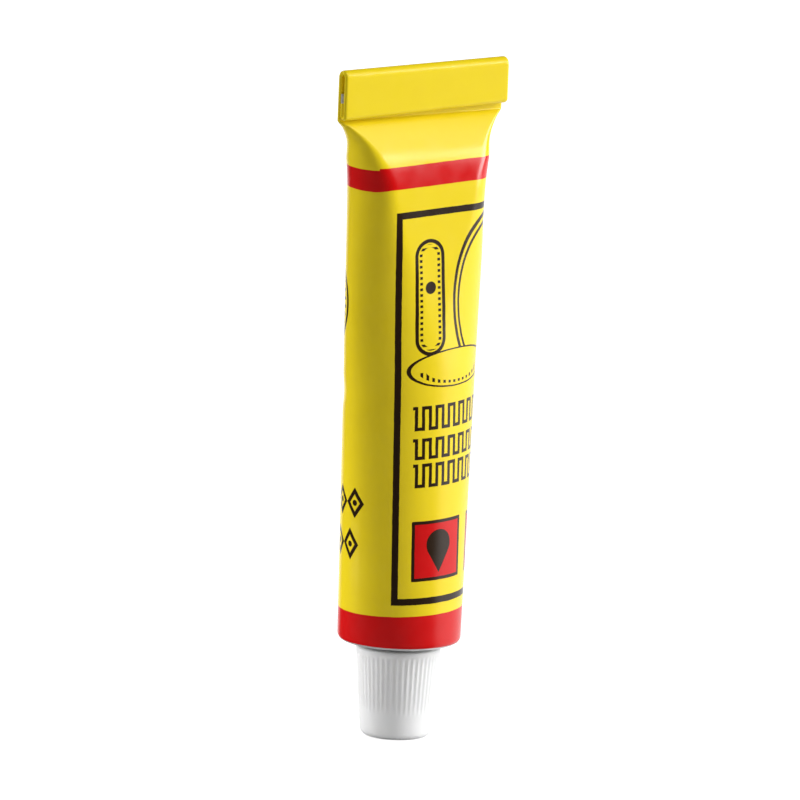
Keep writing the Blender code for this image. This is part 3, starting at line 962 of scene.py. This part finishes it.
def putInScene(name, data, right, up, out, place):
    # a camera or lamp that looks the opposite way to out
    thing = bpy.data.objects.new(name, data)
    bpy.context.scene.collection.objects.link(thing)
    matrix = np.eye(4)
    matrix[:3] = np.column_stack([right, up, out, place])
    thing.matrix_world = Matrix(matrix.tolist())
    return thing


def placeCamera():
    out, right = directions(view["azimuth"], view["elevation"])
    up = np.cross(out, right)
    roll = math.radians(view["roll"])
    rightRolled = right * math.cos(roll) + up * math.sin(roll)
    upRolled = up * math.cos(roll) - right * math.sin(roll)
    aim = np.array([0, 0, view["aimHeight"]]) + right * view["aimRight"]
    data = bpy.data.cameras.new("camera")
    data.sensor_width = view["sensor"]
    data.lens = view["distance"] / view["widthSeen"] * view["sensor"]
    eye = aim + out * view["distance"]
    bpy.context.scene.camera = putInScene("camera", data, rightRolled, upRolled, out, eye)
    print("camera: lens", round(data.lens), "mm")


placeCamera()


# the stage and the light
stage = {
    "size": 4.0,
    "paper": 0.56,
    "paperGrain": 0.02,
    "paintedShadeInMirrors": (0.03, 0.03, 0.03),   # painted shade: the paper's near-black colour in mirrored rays, so the enamel mirrors a dark floor in front
    "glowSeen": 0.75,          # the glow that takes the paper to white in the camera's eye
    "paintedReflectionSide": 109.0,       # azimuth of the side on which the paper glows in mirrored rays only, a painted reflection on the enamel
    "paintedReflectionEdge": (0.2, 0.42),
    "sky": 0.30,
    "skySeen": 0.70,           # added to it in the camera's eye
    "skyMirrored": 0.28,       # taken from it in mirrored rays
}
lamps = [
    {"name": "keyStrip", "azimuth": 54, "elevation": 19, "distance": 0.8, "size": (0.36, 0.55), "power": 6.7},
    {
        "name": "leftRim", "azimuth": -150, "elevation": 20, "distance": 0.8, "size": (0.34, 0.55),
        "power": 3.9, "mirrored": False,
    },
    {"name": "topSoftbox", "azimuth": 30, "elevation": 58, "distance": 0.9, "size": (0.5, 0.5), "power": 1.5},
    {
        "name": "lowFill", "azimuth": -120, "elevation": 0, "distance": 0.06, "size": (0.03, 0.008),
        "power": 0.0135, "height": 8 * mm, "mirrored": False,
    },
]


def raysOf(tree):
    # 1 for the camera's rays, and 1 for mirrored rays
    path = tree.nodes.new("ShaderNodeLightPath")
    return Field(tree, path.outputs["Is Camera Ray"]), Field(tree, path.outputs["Is Glossy Ray"])


def buildFloor():
    size = stage["size"]
    corners = [(-size, -size, 0), (size, -size, 0), (size, size, 0), (-size, size, 0)]
    mesh = bpy.data.meshes.new("floor")
    mesh.from_pydata(corners, [], [(0, 1, 2, 3)])
    floor = bpy.data.objects.new("floor", mesh)
    bpy.context.scene.collection.objects.link(floor)
    paper = Finish("floorPaper")
    tree = paper.tree
    seen, glossy = raysOf(tree)
    level, grain = stage["paper"], stage["paperGrain"]
    plain = paper.ramp(paper.noise(4 * mm, 3), 0.0, 1.0, level - grain, level + grain)
    # painted shade: in mirrored rays the paper takes the near-black colour instead of its own
    paper.finish(Base_Color=paper.mix(glossy, plain, stage["paintedShadeInMirrors"]), Roughness=0.9)
    # painted reflection: in mirrored rays the paper glows behind the tube and on its right and is near black in
    # front, and the enamel mirrors that
    x, y, _ = paper.split(paper.place)
    turn = math.radians(stage["paintedReflectionSide"])
    toward = (x * math.sin(turn) - y * math.cos(turn)) / (x * x + y * y + 1e-6).root()
    strength = seen * stage["glowSeen"] + glossy * paper.ramp(toward, *stage["paintedReflectionEdge"])
    glow = paper.node("ShaderNodeEmission", Color=(1, 1, 1, 1), Strength=strength)
    both = tree.nodes.new("ShaderNodeAddShader")
    tree.links.new(paper.shader.outputs[0], both.inputs[0])
    tree.links.new(glow, both.inputs[1])
    tree.links.new(both.outputs[0], tree.nodes["Material Output"].inputs["Surface"])
    mesh.materials.append(paper.material)


def buildWorld():
    world = bpy.data.worlds.new("studio")
    bpy.context.scene.world = world
    world.use_nodes = True
    background = world.node_tree.nodes["Background"]
    seen, glossy = raysOf(world.node_tree)
    strength = seen * stage["skySeen"] - glossy * stage["skyMirrored"] + stage["sky"]
    world.node_tree.links.new(strength.socket, background.inputs["Strength"])
    background.inputs["Color"].default_value = (1, 1, 1, 1)


def addLamp(name, azimuth, elevation, distance, size, power, height=38 * mm, mirrored=True):
    out, right = directions(azimuth, elevation)
    data = bpy.data.lights.new(name, "AREA")
    data.shape = "RECTANGLE"
    data.size, data.size_y = size
    data.energy = power
    place = np.array([0, 0, height]) + out * distance
    lamp = putInScene(name, data, right, np.cross(out, right), out, place)
    lamp.visible_camera = False
    lamp.visible_glossy = mirrored


buildFloor()
buildWorld()
for lamp in lamps:
    addLamp(**lamp)
print("stage:", len(lamps), "lamps")
bpy.context.scene.view_settings.view_transform = "Standard"
